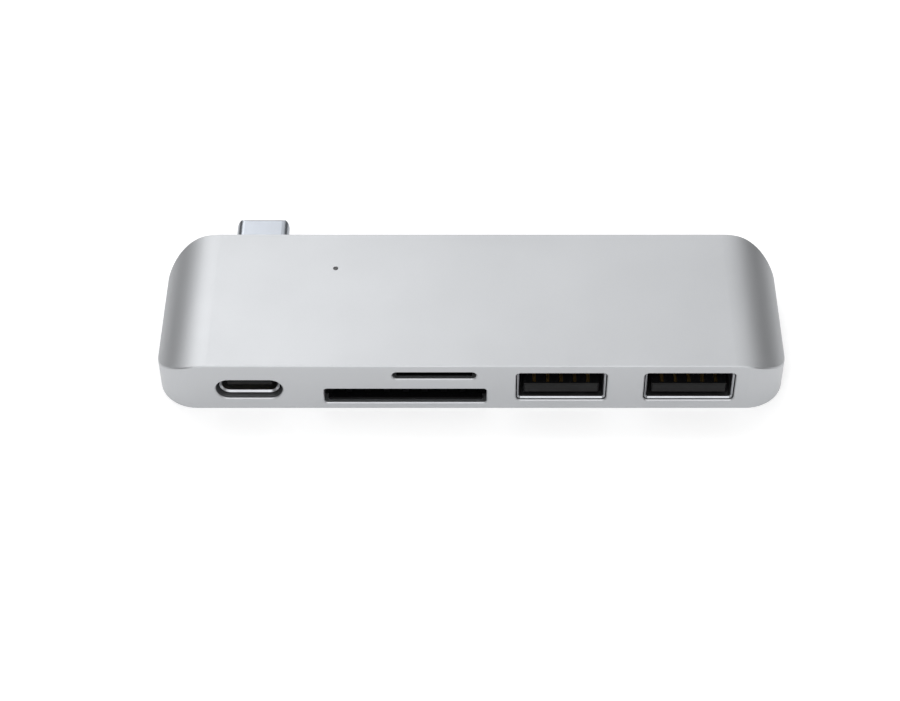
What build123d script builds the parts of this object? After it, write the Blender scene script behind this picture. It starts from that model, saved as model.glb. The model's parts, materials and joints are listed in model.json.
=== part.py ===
# Slim aluminium USB hub: a milled casing with a fixed USB-C plug, a USB-C socket, two USB-A
# sockets, an SD slot and a push-push microSD slot, all carried by one board inside.
# Millimetres. Origin at the middle of the casing underside, X right, Y to the back, Z up.
import os
from math import atan2, cos, hypot, pi, sin, sqrt

from build123d import *

# casing
casing_length = 94.0
casing_depth = 28.0
casing_height = 9.2
corner_radius = 6.0
shoulder_radius = 10.0
shoulder_run = 8.0
wall = 1.8
roof = 1.2
edge_break = 0.15
cover_thickness = 0.8
cover_rim = 0.9
cover_gap = 0.1
tape_thickness = 0.15
film_thickness = 0.08

# board and the screws that hold it to the casing
board_bottom = 4.4
board_thickness = 0.8
board_gap = 0.4
board_corner = 4.0
screw_diameter = 1.6
screw_length = 3.0
screw_head_diameter = 2.8
screw_head_height = 0.7
screw_play = 0.04
boss_diameter = 3.4
boss_hole_depth = 2.4
boss_inset = 5.0
boss_step_in = 6.0
inner_boss_x = 8.0

# host plug at the back
end_port_inset = 14.0
plug_width = 8.25
plug_height = 2.4
plug_reach = 6.65
plug_root = 4.9
plug_sheet = 0.25
plug_tip_round = 1.0
plug_window_play = 0.15
bracket_sheet = 0.4
bracket_screw_spread = 6.9
bracket_screw_inset = 5.6

# USB-C socket
usb_c_z = 4.09
usb_c_width = 8.94
usb_c_height = 3.16
usb_c_sheet = 0.3
usb_c_length = 7.4
usb_c_set_back = 0.9
usb_c_lead_in = 0.25
usb_c_root = 4.3
usb_c_window_width = 9.97
usb_c_window_height = 3.89
tongue_c_width = 6.69
tongue_c_thickness = 0.7
contact_c_pitch = 0.5
contact_c_count = 12
contact_c_width = 0.25
contact_sheet = 0.12

# USB-A sockets
usb_a_z = 4.66
usb_a_pitch = 18.99
usb_a_end_inset = 14.65
usb_a_width = 13.1
usb_a_height = 5.62
usb_a_sheet = 0.25
usb_a_length = 13.5
usb_a_set_back = 0.3
usb_a_lead_in = 0.2
usb_a_spacer = 4.4
usb_a_window_play_x = 0.2
usb_a_window_play_z = 0.1
usb_a_ear_reach = 0.95
usb_a_boss_gap = 0.45
tongue_a_width = 11.16
tongue_a_thickness = 1.84
tongue_a_drop = 0.95
tongue_a_set_back = 0.63

# SD slot, hung under the board
sd_x = -9.83
sd_slot_width = 24.4
sd_slot_height = 2.35
sd_floor = 0.4
sd_rail = 1.3
pocket_skin = 0.2
sd_rear_wall = 1.0
sd_length = 21.75
sd_window_width = 24.2
sd_window_height = 3.0
sd_cover_sheet = 0.2
card_lip_set_back = 0.7
nose_play = 0.05
tooth_count = 8
tooth_width = 1.93
tooth_pitch = 2.83
tooth_length = 1.0

# microSD slot, on top of the board
microsd_x = -5.48
microsd_slot_width = 11.2
microsd_slot_height = 1.15
microsd_floor = 1.25
microsd_nose = 0.5
microsd_left_rail = 1.1
microsd_length = 17.1
microsd_window_width = 12.45
microsd_window_height = 1.38
microsd_cover_sheet = 0.15
slider_width = 2.2
slider_length = 7.8
slider_height = 1.5
slider_play = 0.1
slider_travel = 4.3
track_spread = 1.1
track_width = 0.45
spring_radius = 0.4
spring_wire = 0.12
spring_turns = 17
spring_wire_sides = 8
pin_wire = 0.3
pin_length = 5.6

# status light
light_x = -20.8
light_y = 6.4
light_hole = 0.8
light_play = 0.03

# derived positions
far = 2 * casing_length
half_length = casing_length / 2
half_depth = casing_depth / 2
front = -half_depth
back = half_depth
inner_front = front + wall
inner_back = back - wall
inner_roof = casing_height - roof
shoulder_x = half_length - shoulder_run
shoulder_z = casing_height - shoulder_radius
ledge_z = cover_thickness + tape_thickness
board_top = board_bottom + board_thickness
board_middle = board_bottom + board_thickness / 2
plug_x = -(half_length - end_port_inset)
usb_a_places = (half_length - usb_a_end_inset - usb_a_pitch, half_length - usb_a_end_inset)
between_usb_a = (usb_a_places[0] + usb_a_places[1]) / 2
bracket_boss_y = back - bracket_screw_inset
board_bosses = [
    (-(half_length - boss_inset), front + boss_step_in),
    (
        usb_a_places[1] + usb_a_width / 2 + usb_a_ear_reach + usb_a_boss_gap + boss_diameter / 2,
        front + boss_step_in,
    ),
    (half_length - boss_inset, back - boss_step_in),
    (inner_boss_x, back - boss_step_in),
]
bracket_bosses = [
    (plug_x - bracket_screw_spread, bracket_boss_y),
    (plug_x + bracket_screw_spread, bracket_boss_y),
]
sd_cover_bottom = board_bottom - 0.45
sd_floor_top = sd_cover_bottom - sd_slot_height
sd_front = inner_front + 0.05
sd_back = sd_front + sd_length
microsd_bottom = board_top + 0.05
microsd_floor_top = microsd_bottom + microsd_floor
microsd_rail_top = microsd_floor_top + microsd_slot_height
microsd_front = inner_front + 0.1
microsd_back = microsd_front + microsd_length
microsd_left = microsd_x - microsd_slot_width / 2
microsd_right = microsd_x + microsd_slot_width / 2
slider_x = microsd_right + 0.03 + slider_play + slider_width / 2
slider_bottom = microsd_bottom + 0.35
slider_top = slider_bottom + slider_height
slider_front = microsd_front + 4.1
slider_back = slider_front + slider_length
channel_left = slider_x - slider_width / 2 - slider_play
channel_right = slider_x + slider_width / 2 + slider_play
channel_back = microsd_back - 0.6
spring_z = slider_bottom + 0.5
bore_front = slider_back - 5.0
left_track = slider_x - track_spread / 2
right_track = slider_x + track_spread / 2
pin_z = slider_top + 0.2
pin_pivot_y = microsd_back - 0.3
pin_tip_y = pin_pivot_y - pin_length


def block(x_from, x_to, y_from, y_to, z_from, z_to):
    middle = Pos((x_from + x_to) / 2, (y_from + y_to) / 2, (z_from + z_to) / 2)
    return middle * Box(x_to - x_from, y_to - y_from, z_to - z_from)


def along_y(outline, x, z, y_from, y_to):
    plane = Plane(origin=(x, y_from, z), x_dir=(1, 0, 0), z_dir=(0, 1, 0))
    return extrude(plane * outline, amount=y_to - y_from)


def upright(outline, x, y, z_from, z_to):
    return extrude(Pos(x, y, z_from) * outline, amount=z_to - z_from)


def rod(x, y, radius, z_from, z_to):
    return upright(Circle(radius), x, y, z_from, z_to)


def group(shapes):
    return Compound(children=list(shapes))


def below(shape, z):
    return shape & block(-far, far, -far, far, -far, z)


def above(shape, z):
    return shape & block(-far, far, -far, far, z, far)


def before(shape, y):
    return shape & block(-far, far, -far, y, -far, far)


def behind(shape, y):
    return shape & block(-far, far, y, far, -far, far)


def strip_outline(path, thickness):
    # two sides of a bent strip about its centre line, mitred at every bend
    normals = []
    for (y1, z1), (y2, z2) in zip(path, path[1:]):
        run = hypot(y2 - y1, z2 - z1)
        normals.append(((z1 - z2) / run, (y2 - y1) / run))
    upper = []
    lower = []
    for index, (y, z) in enumerate(path):
        a = normals[max(index - 1, 0)]
        b = normals[min(index, len(normals) - 1)]
        reach = thickness / 2 / (1 + a[0] * b[0] + a[1] * b[1])
        shift_y = (a[0] + b[0]) * reach
        shift_z = (a[1] + b[1]) * reach
        upper.append((y + shift_y, z + shift_z))
        lower.append((y - shift_y, z - shift_z))
    return upper + lower[::-1]


def strips(path, thickness, width, places):
    made = []
    for x in places:
        plane = Plane(origin=(x, 0, 0), x_dir=(0, 1, 0), z_dir=(1, 0, 0))
        outline = Polygon(*strip_outline(path, thickness), align=None)
        made.append(extrude(plane * outline, amount=width / 2, both=True))
    return made


def row(count, pitch, middle):
    return [middle + (index - (count - 1) / 2) * pitch for index in range(count)]


def humped(half_width, radius):
    # long bar whose roof falls away at both ends along an arc about a cross axis
    fall = half_width - shoulder_x
    edge = shoulder_z + sqrt(radius**2 - fall**2)
    top = shoulder_z + radius
    turn = (pi / 2 + atan2(edge - shoulder_z, fall)) / 2
    bend_x = shoulder_x + radius * cos(turn)
    bend_z = shoulder_z + radius * sin(turn)
    outline = Polyline((-half_width, edge), (-half_width, 0), (half_width, 0), (half_width, edge))
    outline += ThreePointArc((half_width, edge), (bend_x, bend_z), (shoulder_x, top))
    outline += Line((shoulder_x, top), (-shoulder_x, top))
    outline += ThreePointArc((-shoulder_x, top), (-bend_x, bend_z), (-half_width, edge))
    return extrude(make_face(Plane.XZ * outline), amount=casing_depth, both=True)


def casing_body(inset, drop):
    # casing form moved inwards by inset on the sides and by drop under the roof
    plan = RectangleRounded(
        casing_length - 2 * inset, casing_depth - 2 * inset, corner_radius - inset
    )
    tall = upright(plan, 0, 0, 0, casing_height)
    return tall & humped(half_length - inset, shoulder_radius - drop)


def make_top_housing():
    body = casing_body(0, 0)
    creases = [
        edge
        for edge in body.edges()
        if edge.center().Z > shoulder_z + 5.5
        and not (abs(abs(edge.center().X) - shoulder_x) < 0.01 and abs(edge.center().Y) < 0.01)
    ]
    body = chamfer(creases, edge_break)
    body -= casing_body(wall, roof)
    recess = RectangleRounded(
        casing_length - 2 * cover_rim, casing_depth - 2 * cover_rim, corner_radius - cover_rim
    )
    body -= upright(recess, 0, 0, 0, ledge_z)
    posts = [rod(x, y, boss_diameter / 2, board_top, casing_height) for x, y in board_bosses]
    posts += [rod(x, y, boss_diameter / 2, board_top, casing_height) for x, y in bracket_bosses]
    inside = casing_body(wall / 2, roof / 2)
    for post in posts:
        body += post & inside
    for x, y in board_bosses + bracket_bosses:
        hole_radius = (screw_diameter + screw_play) / 2
        body -= rod(x, y, hole_radius, board_top, board_top + boss_hole_depth)
    through = (front - 1, inner_front + 0.5)
    usb_c_outline = SlotOverall(usb_c_window_width, usb_c_window_height)
    body -= along_y(usb_c_outline, plug_x, usb_c_z, *through)
    sd_outline = RectangleRounded(sd_window_width, sd_window_height, 0.5)
    body -= along_y(sd_outline, sd_x, sd_floor_top + sd_slot_height / 2 - 0.1, *through)
    microsd_outline = SlotOverall(microsd_window_width, microsd_window_height)
    body -= along_y(microsd_outline, microsd_x, microsd_rail_top - microsd_slot_height / 2, *through)
    body -= block(
        microsd_left - nose_play, microsd_right + nose_play, front + card_lip_set_back,
        inner_front + 0.5, microsd_floor_top - microsd_nose - nose_play, microsd_floor_top + 0.5,
    )
    usb_a_outline = RectangleRounded(
        usb_a_width + 2 * usb_a_window_play_x, usb_a_height + 2 * usb_a_window_play_z, 0.7
    )
    for x in usb_a_places:
        body -= along_y(usb_a_outline, x, usb_a_z, *through)
    plug_outline = SlotOverall(
        plug_width + 2 * plug_window_play, plug_height + 2 * plug_window_play
    )
    body -= along_y(plug_outline, plug_x, board_middle, inner_back - 0.5, back + 1)
    flat_sides = body.faces().filter_by(Axis.Y).sort_by(Axis.Y)
    rims = []
    for side in (flat_sides[0], flat_sides[-1]):
        for wire in side.inner_wires():
            rims += wire.edges()
    body = chamfer(rims, edge_break)
    body -= rod(light_x, light_y, light_hole / 2, inner_roof - 1, casing_height + 1)
    return body


def cover_plan(gap):
    inset = cover_rim + gap
    return RectangleRounded(
        casing_length - 2 * inset, casing_depth - 2 * inset, corner_radius - inset
    )


def make_bottom_cover():
    plate = upright(cover_plan(cover_gap), 0, 0, 0, cover_thickness)
    lower_rim = plate.faces().sort_by(Axis.Z)[0].edges()
    return chamfer(lower_rim, 0.12)


def make_adhesive_frame():
    frame = upright(cover_plan(cover_gap + 0.05), 0, 0, cover_thickness, ledge_z)
    window = RectangleRounded(
        casing_length - 2 * wall + 0.1, casing_depth - 2 * wall + 0.1, corner_radius - wall
    )
    return frame - upright(window, 0, 0, cover_thickness, ledge_z)


def make_insulating_film():
    sheet = RectangleRounded(
        casing_length - 2 * wall - 0.8, casing_depth - 2 * wall - 0.8, corner_radius - wall - 0.4
    )
    return upright(sheet, 0, 0, cover_thickness, cover_thickness + film_thickness)


def make_main_board():
    board = upright(
        RectangleRounded(
            casing_length - 2 * (wall + board_gap) - 0.2,
            casing_depth - 2 * (wall + board_gap),
            board_corner - 0.2,
        ),
        0,
        0,
        board_bottom,
        board_top,
    )
    for x, y in board_bosses + bracket_bosses:
        board -= rod(x, y, screw_diameter / 2 + 0.1, board_bottom, board_top)
    for x in usb_a_places:
        half = usb_a_width / 2 + 0.15
        rear = front + usb_a_set_back + usb_a_length + 0.2
        board -= block(x - half, x + half, front, rear, board_bottom, board_top)
    half = usb_c_width / 2 + 0.13
    rear = front + usb_c_set_back + usb_c_length + 0.2
    board -= block(plug_x - half, plug_x + half, front, rear, board_bottom, board_top)
    half = plug_width / 2 + 0.35
    rear = back - plug_root - 0.2
    board -= block(plug_x - half, plug_x + half, rear, back, board_bottom, board_top)
    return board


def make_screws(places, seat_z):
    made = []
    for x, y in places:
        head = rod(x, y, screw_head_diameter / 2, seat_z - screw_head_height, seat_z)
        head = fillet(head.faces().sort_by(Axis.Z)[0].edges(), 0.3)
        shank = rod(x, y, screw_diameter / 2, seat_z, seat_z + screw_length)
        shank = chamfer(shank.faces().sort_by(Axis.Z)[-1].edges(), 0.2)
        screw = head + shank
        low = seat_z - screw_head_height
        screw -= block(x - 0.7, x + 0.7, y - 0.16, y + 0.16, low, low + 0.35)
        screw -= block(x - 0.16, x + 0.16, y - 0.7, y + 0.7, low, low + 0.35)
        made.append(screw)
    return group(made)


def make_plug_shell():
    root = back - plug_root
    tip = back + plug_reach
    outer = along_y(SlotOverall(plug_width, plug_height), plug_x, board_middle, root, tip)
    plan = RectangleRounded(plug_width, 2 * (tip - root), plug_tip_round)
    outer &= upright(plan, plug_x, root, board_middle - plug_height, board_middle + plug_height)
    side_plane = Plane(origin=(plug_x - plug_width, 0, 0), x_dir=(0, 1, 0), z_dir=(1, 0, 0))
    side_view = Pos(root, board_middle) * RectangleRounded(2 * (tip - root), plug_height, 0.3)
    outer &= extrude(side_plane * side_view, amount=2 * plug_width)
    hollow = SlotOverall(plug_width - 2 * plug_sheet, plug_height - 2 * plug_sheet)
    shell = outer - along_y(hollow, plug_x, board_middle, root, tip - plug_tip_round)
    mouth = SlotOverall(plug_width - 2 * plug_tip_round + 0.9, plug_height - 2 * plug_sheet)
    return shell - along_y(mouth, plug_x, board_middle, tip - plug_tip_round - 0.2, tip)


def plug_contact_paths():
    tip = back + plug_reach
    root = back - plug_root
    upper = [
        (root - 1.9, board_top + 0.06),
        (root + 0.6, board_top + 0.06),
        (root + 1.4, board_middle + 0.66),
        (tip - 3.5, board_middle + 0.66),
        (tip - 1.7, board_middle + 0.36),
        (tip - 1.2, board_middle + 0.5),
    ]
    lower = [(y, 2 * board_middle - z) for y, z in upper]
    return upper, lower


def plug_moulding():
    root = back - plug_root
    tip = back + plug_reach
    width = plug_width - 2 * plug_sheet - 0.06
    height = plug_height - 2 * plug_sheet - 0.06
    body = along_y(SlotOverall(width, height), plug_x, board_middle, root, tip - 1.1)
    mating = RectangleRounded(tongue_c_width + 0.26, tongue_c_thickness + 0.28, 0.2)
    body -= along_y(mating, plug_x, board_middle, tip - 6.2, tip)
    places = row(contact_c_count, contact_c_pitch, plug_x)
    for path in plug_contact_paths():
        for cutter in strips(path, 0.34, contact_c_width + 0.06, places):
            body -= cutter
    plate_half = 3.72
    body -= block(
        plug_x - plate_half, plug_x + plate_half, root, tip - 1.6,
        board_middle - 0.11, board_middle + 0.11,
    )
    return body


def plug_carrier_zones():
    # the two slabs over and under the mating slot
    half_width = (tongue_c_width + 0.26) / 2
    half_slot = (tongue_c_thickness + 0.28) / 2
    zones = []
    for side in (-1, 1):
        low, high = sorted((board_middle + side * half_slot, board_middle + side * plug_height))
        zones.append(block(plug_x - half_width, plug_x + half_width, 0, far, low, high))
    return zones


def make_plug_insulator():
    body = plug_moulding()
    for zone in plug_carrier_zones():
        body -= zone
    return body


def make_plug_carriers():
    body = plug_moulding()
    made = []
    for zone in plug_carrier_zones():
        made.append(body & zone)
    return group(made)


def make_plug_contacts():
    places = row(contact_c_count, contact_c_pitch, plug_x)
    made = []
    for path in plug_contact_paths():
        made += strips(path, contact_sheet, contact_c_width, places)
    return group(made)


def make_plug_latch_plate():
    root = back - plug_root
    tip = back + plug_reach
    low = board_middle - 0.1
    high = board_middle + 0.1
    plate = block(plug_x - 3.2, plug_x + 3.2, root + 0.4, tip - 6.4, low, high)
    plate += block(plug_x - 3.65, plug_x + 3.65, root + 1.4, tip - 7.2, low, high)
    for side in (-1, 1):
        arm = sorted((plug_x + side * 3.3, plug_x + side * 3.65))
        hook = sorted((plug_x + side * 3.1, plug_x + side * 3.65))
        plate += block(*arm, tip - 7.4, tip - 1.8, low, high)
        plate += block(*hook, tip - 2.4, tip - 1.8, low, high)
    return plate


def make_plug_bracket():
    strap_top = board_middle - plug_height / 2
    strap_low = strap_top - bracket_sheet
    inner = plug_width / 2 + 0.2
    outer = inner + bracket_sheet
    front_y = bracket_boss_y - 1.8
    back_y = inner_back - 0.6
    strap_y = back - plug_root + 0.3
    bracket = block(plug_x - outer, plug_x + outer, strap_y, back_y, strap_low, strap_top)
    for side in (-1, 1):
        cheek = sorted((plug_x + side * inner, plug_x + side * outer))
        ear = sorted((plug_x + side * inner, plug_x + side * (bracket_screw_spread + 1.8)))
        bracket += block(*cheek, strap_y, back_y, strap_low, board_bottom)
        bracket += block(*ear, front_y, back_y, board_bottom - bracket_sheet, board_bottom)
    for x, y in bracket_bosses:
        bracket -= rod(x, y, screw_diameter / 2 + 0.05, board_bottom - bracket_sheet, board_bottom)
    return bracket


def flare_mouth(shell, lead_in):
    # bevel all round the inner edge of a shell's open front end
    end = shell.faces().filter_by(Axis.Y).sort_by(Axis.Y)[0]
    return chamfer(end.inner_wires()[0].edges(), lead_in)


def make_usb_c_shell():
    mouth = front + usb_c_set_back
    rear = mouth + usb_c_length
    outer = along_y(SlotOverall(usb_c_width, usb_c_height), plug_x, usb_c_z, mouth, rear)
    for y in (mouth + 2.2, mouth + 5.2):
        for side in (-1, 1):
            ear = sorted((plug_x + side * 3.6, plug_x + side * (usb_c_width / 2 + 0.95)))
            outer += block(*ear, y, y + 1.1, board_top, board_top + usb_c_sheet)
    hollow = SlotOverall(usb_c_width - 2 * usb_c_sheet, usb_c_height - 2 * usb_c_sheet)
    shell = outer - along_y(hollow, plug_x, usb_c_z, mouth, rear)
    return flare_mouth(shell, usb_c_lead_in)


def usb_c_contact_paths():
    mouth = front + usb_c_set_back
    rear = mouth + usb_c_length
    flush = tongue_c_thickness / 2 - contact_sheet / 2
    upper = [
        (mouth + 0.9, usb_c_z + flush),
        (rear - 1.5, usb_c_z + flush),
        (rear - 1.1, board_top - 0.3),
        (rear + 0.05, board_top - 0.3),
        (rear + 0.05, board_top + 0.06),
        (rear + 1.1, board_top + 0.06),
    ]
    lower = [
        (mouth + 0.9, usb_c_z - flush),
        (rear + 0.05, usb_c_z - flush),
        (rear + 0.05, board_bottom - 0.06),
        (rear + 1.1, board_bottom - 0.06),
    ]
    return upper, lower


def usb_c_moulding():
    mouth = front + usb_c_set_back
    rear = mouth + usb_c_length
    body = along_y(
        SlotOverall(usb_c_width - 2 * usb_c_sheet - 0.06, usb_c_height - 2 * usb_c_sheet - 0.06),
        plug_x, usb_c_z, rear - 2.4, rear - 0.2,
    )
    tongue = RectangleRounded(tongue_c_width, tongue_c_thickness, 0.15)
    body += along_y(tongue, plug_x, usb_c_z, mouth + 0.5, rear - 2.0)
    root = RectangleRounded(tongue_c_width + 0.4, tongue_c_thickness + 0.5, 0.2)
    body += along_y(root, plug_x, usb_c_z, mouth + usb_c_root, rear - 2.0)
    places = row(contact_c_count, contact_c_pitch, plug_x)
    for path in usb_c_contact_paths():
        for cutter in strips(path, contact_sheet + 0.04, contact_c_width + 0.04, places):
            body -= cutter
    for side in (-1, 1):
        above_z = usb_c_z + side * (tongue_c_thickness / 2 + 0.2)
        low, high = above_z - 0.2, above_z + 0.2
        body -= block(plug_x - 3.0, plug_x + 3.0, mouth + usb_c_root - 0.1, rear - 2.4, low, high)
    return body - block(
        plug_x - 3.1, plug_x + 3.1, mouth + 0.7, rear - 0.2, usb_c_z - 0.08, usb_c_z + 0.08
    )


def make_usb_c_tongue():
    return before(usb_c_moulding(), front + usb_c_set_back + usb_c_root)


def make_usb_c_insulator():
    return behind(usb_c_moulding(), front + usb_c_set_back + usb_c_root)


def make_usb_c_mid_plate():
    mouth = front + usb_c_set_back
    rear = mouth + usb_c_length
    plate = block(
        plug_x - 3.05, plug_x + 3.05, mouth + 0.72, rear - 0.25, usb_c_z - 0.075, usb_c_z + 0.075
    )
    return plate


def make_usb_c_contacts():
    places = row(contact_c_count, contact_c_pitch, plug_x)
    made = []
    for path in usb_c_contact_paths():
        made += strips(path, contact_sheet, contact_c_width, places)
    return group(made)


def make_usb_a_shell(x):
    mouth = front + usb_a_set_back
    rear = mouth + usb_a_length
    half_w = usb_a_width / 2
    half_h = usb_a_height / 2
    tube = along_y(RectangleRounded(usb_a_width, usb_a_height, 0.6), x, usb_a_z, mouth, rear)
    for y in (mouth + 4.2, mouth + 9.7):
        for side in (-1, 1):
            ear = sorted((x + side * (half_w - 0.15), x + side * (half_w + usb_a_ear_reach)))
            tube += block(*ear, y, y + 2.0, board_top, board_top + usb_a_sheet)
    inner_w = usb_a_width - 2 * usb_a_sheet
    inner_h = usb_a_height - 2 * usb_a_sheet
    tube -= along_y(RectangleRounded(inner_w, inner_h, 0.35), x, usb_a_z, mouth, rear)
    tube = flare_mouth(tube, usb_a_lead_in)
    tube += block(
        x - half_w + 0.3, x + half_w - 0.3, rear - usb_a_sheet, rear,
        board_top + 0.45, usb_a_z + half_h - 0.1,
    )
    places = (x - 3.2, x + 3.2)
    for side in (-1, 1):
        sheet_z = usb_a_z + side * (half_h - usb_a_sheet / 2)
        finger = [
            (mouth + 8.6, sheet_z),
            (mouth + 7.7, sheet_z),
            (mouth + 4.2, sheet_z - side * 0.42),
            (mouth + 3.1, sheet_z - side * 0.1),
        ]
        for place in places:
            low = min(sheet_z - 0.3, sheet_z + 0.3)
            tube -= block(place - 0.95, place + 0.95, mouth + 2.6, mouth + 8.0, low, low + 0.6)
        for made in strips(finger, 0.2, 1.4, places):
            tube += made
    return tube


def usb_a_paths():
    mouth = front + usb_a_set_back
    rear = mouth + usb_a_length
    tongue_top = usb_a_z - tongue_a_drop + tongue_a_thickness / 2
    power = [
        (rear + 1.2, board_top + 0.075),
        (rear, board_top + 0.075),
        (rear, tongue_top - 0.11),
        (mouth + 6.7, tongue_top - 0.11),
        (mouth + 5.4, tongue_top + 0.37),
        (mouth + 3.9, tongue_top - 0.33),
    ]
    fast = [
        (rear + 1.2, board_bottom - 0.075),
        (rear, board_bottom - 0.075),
        (rear, tongue_top - 1.28),
        (mouth + 3.1, tongue_top - 1.28),
        (mouth + 2.6, tongue_top - 0.07),
        (mouth + 0.8, tongue_top - 0.07),
    ]
    return power, fast


def power_places(x):
    return [x - 3.5, x - 1.0, x + 1.0, x + 3.5]


def usb_a_moulding(x):
    mouth = front + usb_a_set_back
    rear = mouth + usb_a_length
    tongue_z = usb_a_z - tongue_a_drop
    tongue_top = tongue_z + tongue_a_thickness / 2
    tongue = along_y(
        Rectangle(tongue_a_width, tongue_a_thickness), x, tongue_z,
        front + tongue_a_set_back, rear - usb_a_spacer + 0.2,
    )
    tongue = chamfer(tongue.faces().sort_by(Axis.Y)[0].edges(), 0.2)
    block_width = usb_a_width - 2 * usb_a_sheet - 0.1
    block_height = usb_a_height - 2 * usb_a_sheet - 0.1
    rear_block = RectangleRounded(block_width, block_height, 0.35)
    body = tongue + along_y(rear_block, x, usb_a_z, rear - usb_a_spacer, rear - 0.3)
    power, fast = usb_a_paths()
    for cutter in strips(power, 0.19, 0.94, power_places(x)):
        body -= cutter
    for cutter in strips(fast, 0.19, 0.54, row(5, 2.0, x)):
        body -= cutter
    for place in power_places(x):
        body -= block(
            place - 0.55, place + 0.55, mouth + 3.5, rear - usb_a_spacer,
            tongue_top - 0.55, tongue_top + 0.1,
        )
    return body


def usb_a_split():
    return front + usb_a_set_back + usb_a_length - usb_a_spacer


def make_usb_a_tongue(x):
    return before(usb_a_moulding(x), usb_a_split())


def make_usb_a_spacer(x):
    return behind(usb_a_moulding(x), usb_a_split())


def make_usb_a_power_contacts(x):
    return group(strips(usb_a_paths()[0], 0.15, 0.9, power_places(x)))


def make_usb_a_fast_contacts(x):
    return group(strips(usb_a_paths()[1], 0.15, 0.5, row(5, 2.0, x)))


def lever_spots():
    # pivot y, arm length and side of each switch lever beside the SD card
    return {"detect": (sd_back - 9.2, 1), "protect": (sd_back - 14.6, -1)}


lever_pin_radius = 0.25
lever_arm = 5.0
lever_pin_x = sd_slot_width / 2 + 0.55


def sd_pocket(pivot_y, side):
    inner = sd_x + side * (sd_slot_width / 2 - 0.1)
    outer = sd_x + side * (sd_slot_width / 2 + sd_rail - pocket_skin)
    near, far = sorted((inner, outer))
    return block(near, far, pivot_y - 0.8, pivot_y + lever_arm + 0.5, sd_floor_top, sd_cover_bottom)


def sd_contact_places():
    shifts = [9.4 - 2.5 * index for index in range(7)] + [-8.0, -9.7]
    return [sd_x + shift for shift in shifts]


def sd_contact_path():
    floor_middle = sd_floor_top - sd_floor / 2
    return [
        (sd_back + 1.6, board_bottom - 0.075),
        (sd_back + 0.4, board_bottom - 0.075),
        (sd_back + 0.4, floor_middle),
        (sd_back - 3.2, floor_middle),
        (sd_back - 5.4, floor_middle + 0.75),
        (sd_back - 6.2, floor_middle + 0.45),
    ]


def sd_moulding():
    half = sd_slot_width / 2
    left = sd_x - half - sd_rail
    right = sd_x + half + sd_rail
    floor_low = sd_floor_top - sd_floor
    base = block(left, right, sd_front + tooth_length, sd_back, floor_low, sd_floor_top)
    for x in row(tooth_count, tooth_pitch, sd_x):
        tooth_half = tooth_width / 2
        reach = sd_front + tooth_length + 0.1
        base += block(x - tooth_half, x + tooth_half, sd_front, reach, floor_low, sd_floor_top)
    for side in (-1, 1):
        rail = sorted((sd_x + side * half, sd_x + side * (half + sd_rail)))
        base += block(*rail, sd_front, sd_back, floor_low, sd_cover_bottom)
    rear_y = sd_back - sd_rear_wall
    base += block(left, right, rear_y, sd_back, floor_low, sd_cover_bottom)
    for pivot_y, side in lever_spots().values():
        base -= sd_pocket(pivot_y, side)
        pin_x = sd_x + side * lever_pin_x
        base -= rod(pin_x, pivot_y, lever_pin_radius + 0.01, sd_floor_top - 0.2, sd_floor_top)
    for cutter in strips(sd_contact_path(), 0.19, 0.94, sd_contact_places()):
        base -= cutter
    for x in sd_contact_places():
        base -= block(x - 0.6, x + 0.6, sd_back - 6.6, sd_back - 2.6, floor_low, sd_floor_top + 0.1)
    return base


def make_sd_base():
    # the floor runs on into the casing's window, stopping just short of its outer edge
    half = sd_window_width / 2 - 0.6
    nose = block(
        sd_x - half, sd_x + half, front + card_lip_set_back + nose_play, sd_front,
        sd_floor_top - sd_floor, sd_floor_top,
    )
    return below(sd_moulding(), sd_floor_top) + nose


def make_sd_frame():
    return above(sd_moulding(), sd_floor_top)


def make_sd_cover():
    outer = sd_slot_width / 2 + sd_rail
    sheet = sd_cover_sheet
    top = sd_cover_bottom + sheet
    cover = block(
        sd_x - outer - sheet, sd_x + outer + sheet, sd_front + 0.2, sd_back - 0.1,
        sd_cover_bottom, top,
    )
    for side in (-1, 1):
        flange = sorted((sd_x + side * (outer + 0.02), sd_x + side * (outer + sheet)))
        cover += block(*flange, sd_front + 0.2, sd_back - 0.1, sd_floor_top, top)
        for y in (sd_front + 2.2, sd_back - 4.0):
            foot = sorted((sd_x + side * (outer - 0.4), sd_x + side * (outer + 0.7)))
            cover += block(*foot, y, y + 2.0, top - 0.1, board_bottom)
    cover -= block(sd_x - 5.0, sd_x + 5.0, sd_front + 5.0, sd_back - 8.0, sd_cover_bottom, top)
    return cover


def make_sd_contacts():
    return group(strips(sd_contact_path(), 0.15, 0.9, sd_contact_places()))


def make_lever(pin_x, pin_y, side, ring, pin_radius, arm, sheet, bump, low, high):
    # leaf with a rolled eye at one end and a bent nose near the other, nose towards the card
    inner_face = pin_x - side * (ring - 0.02)
    outer_face = inner_face + side * sheet
    lever = rod(pin_x, pin_y, ring, low, high)
    near, far = sorted((inner_face, outer_face))
    lever += block(near, far, pin_y, pin_y + arm, low, high)
    lever -= rod(pin_x, pin_y, pin_radius + 0.04, low, high)
    peak = inner_face - side * bump
    nose = Polygon(
        (inner_face + side * sheet / 2, pin_y + arm - 1.9),
        (peak, pin_y + arm - 1.1),
        (peak, pin_y + arm - 0.8),
        (inner_face + side * sheet / 2, pin_y + arm),
        align=None,
    )
    middle = (low + high) / 2
    return lever + extrude(Pos(0, 0, middle) * nose, amount=(high - low) / 2, both=True)


def make_sd_lever(name):
    pivot_y, side = lever_spots()[name]
    return make_lever(
        sd_x + side * lever_pin_x, pivot_y, side, 0.5, lever_pin_radius, lever_arm, 0.2, 0.5,
        sd_floor_top + 0.05, sd_cover_bottom - 0.6,
    )


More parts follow.
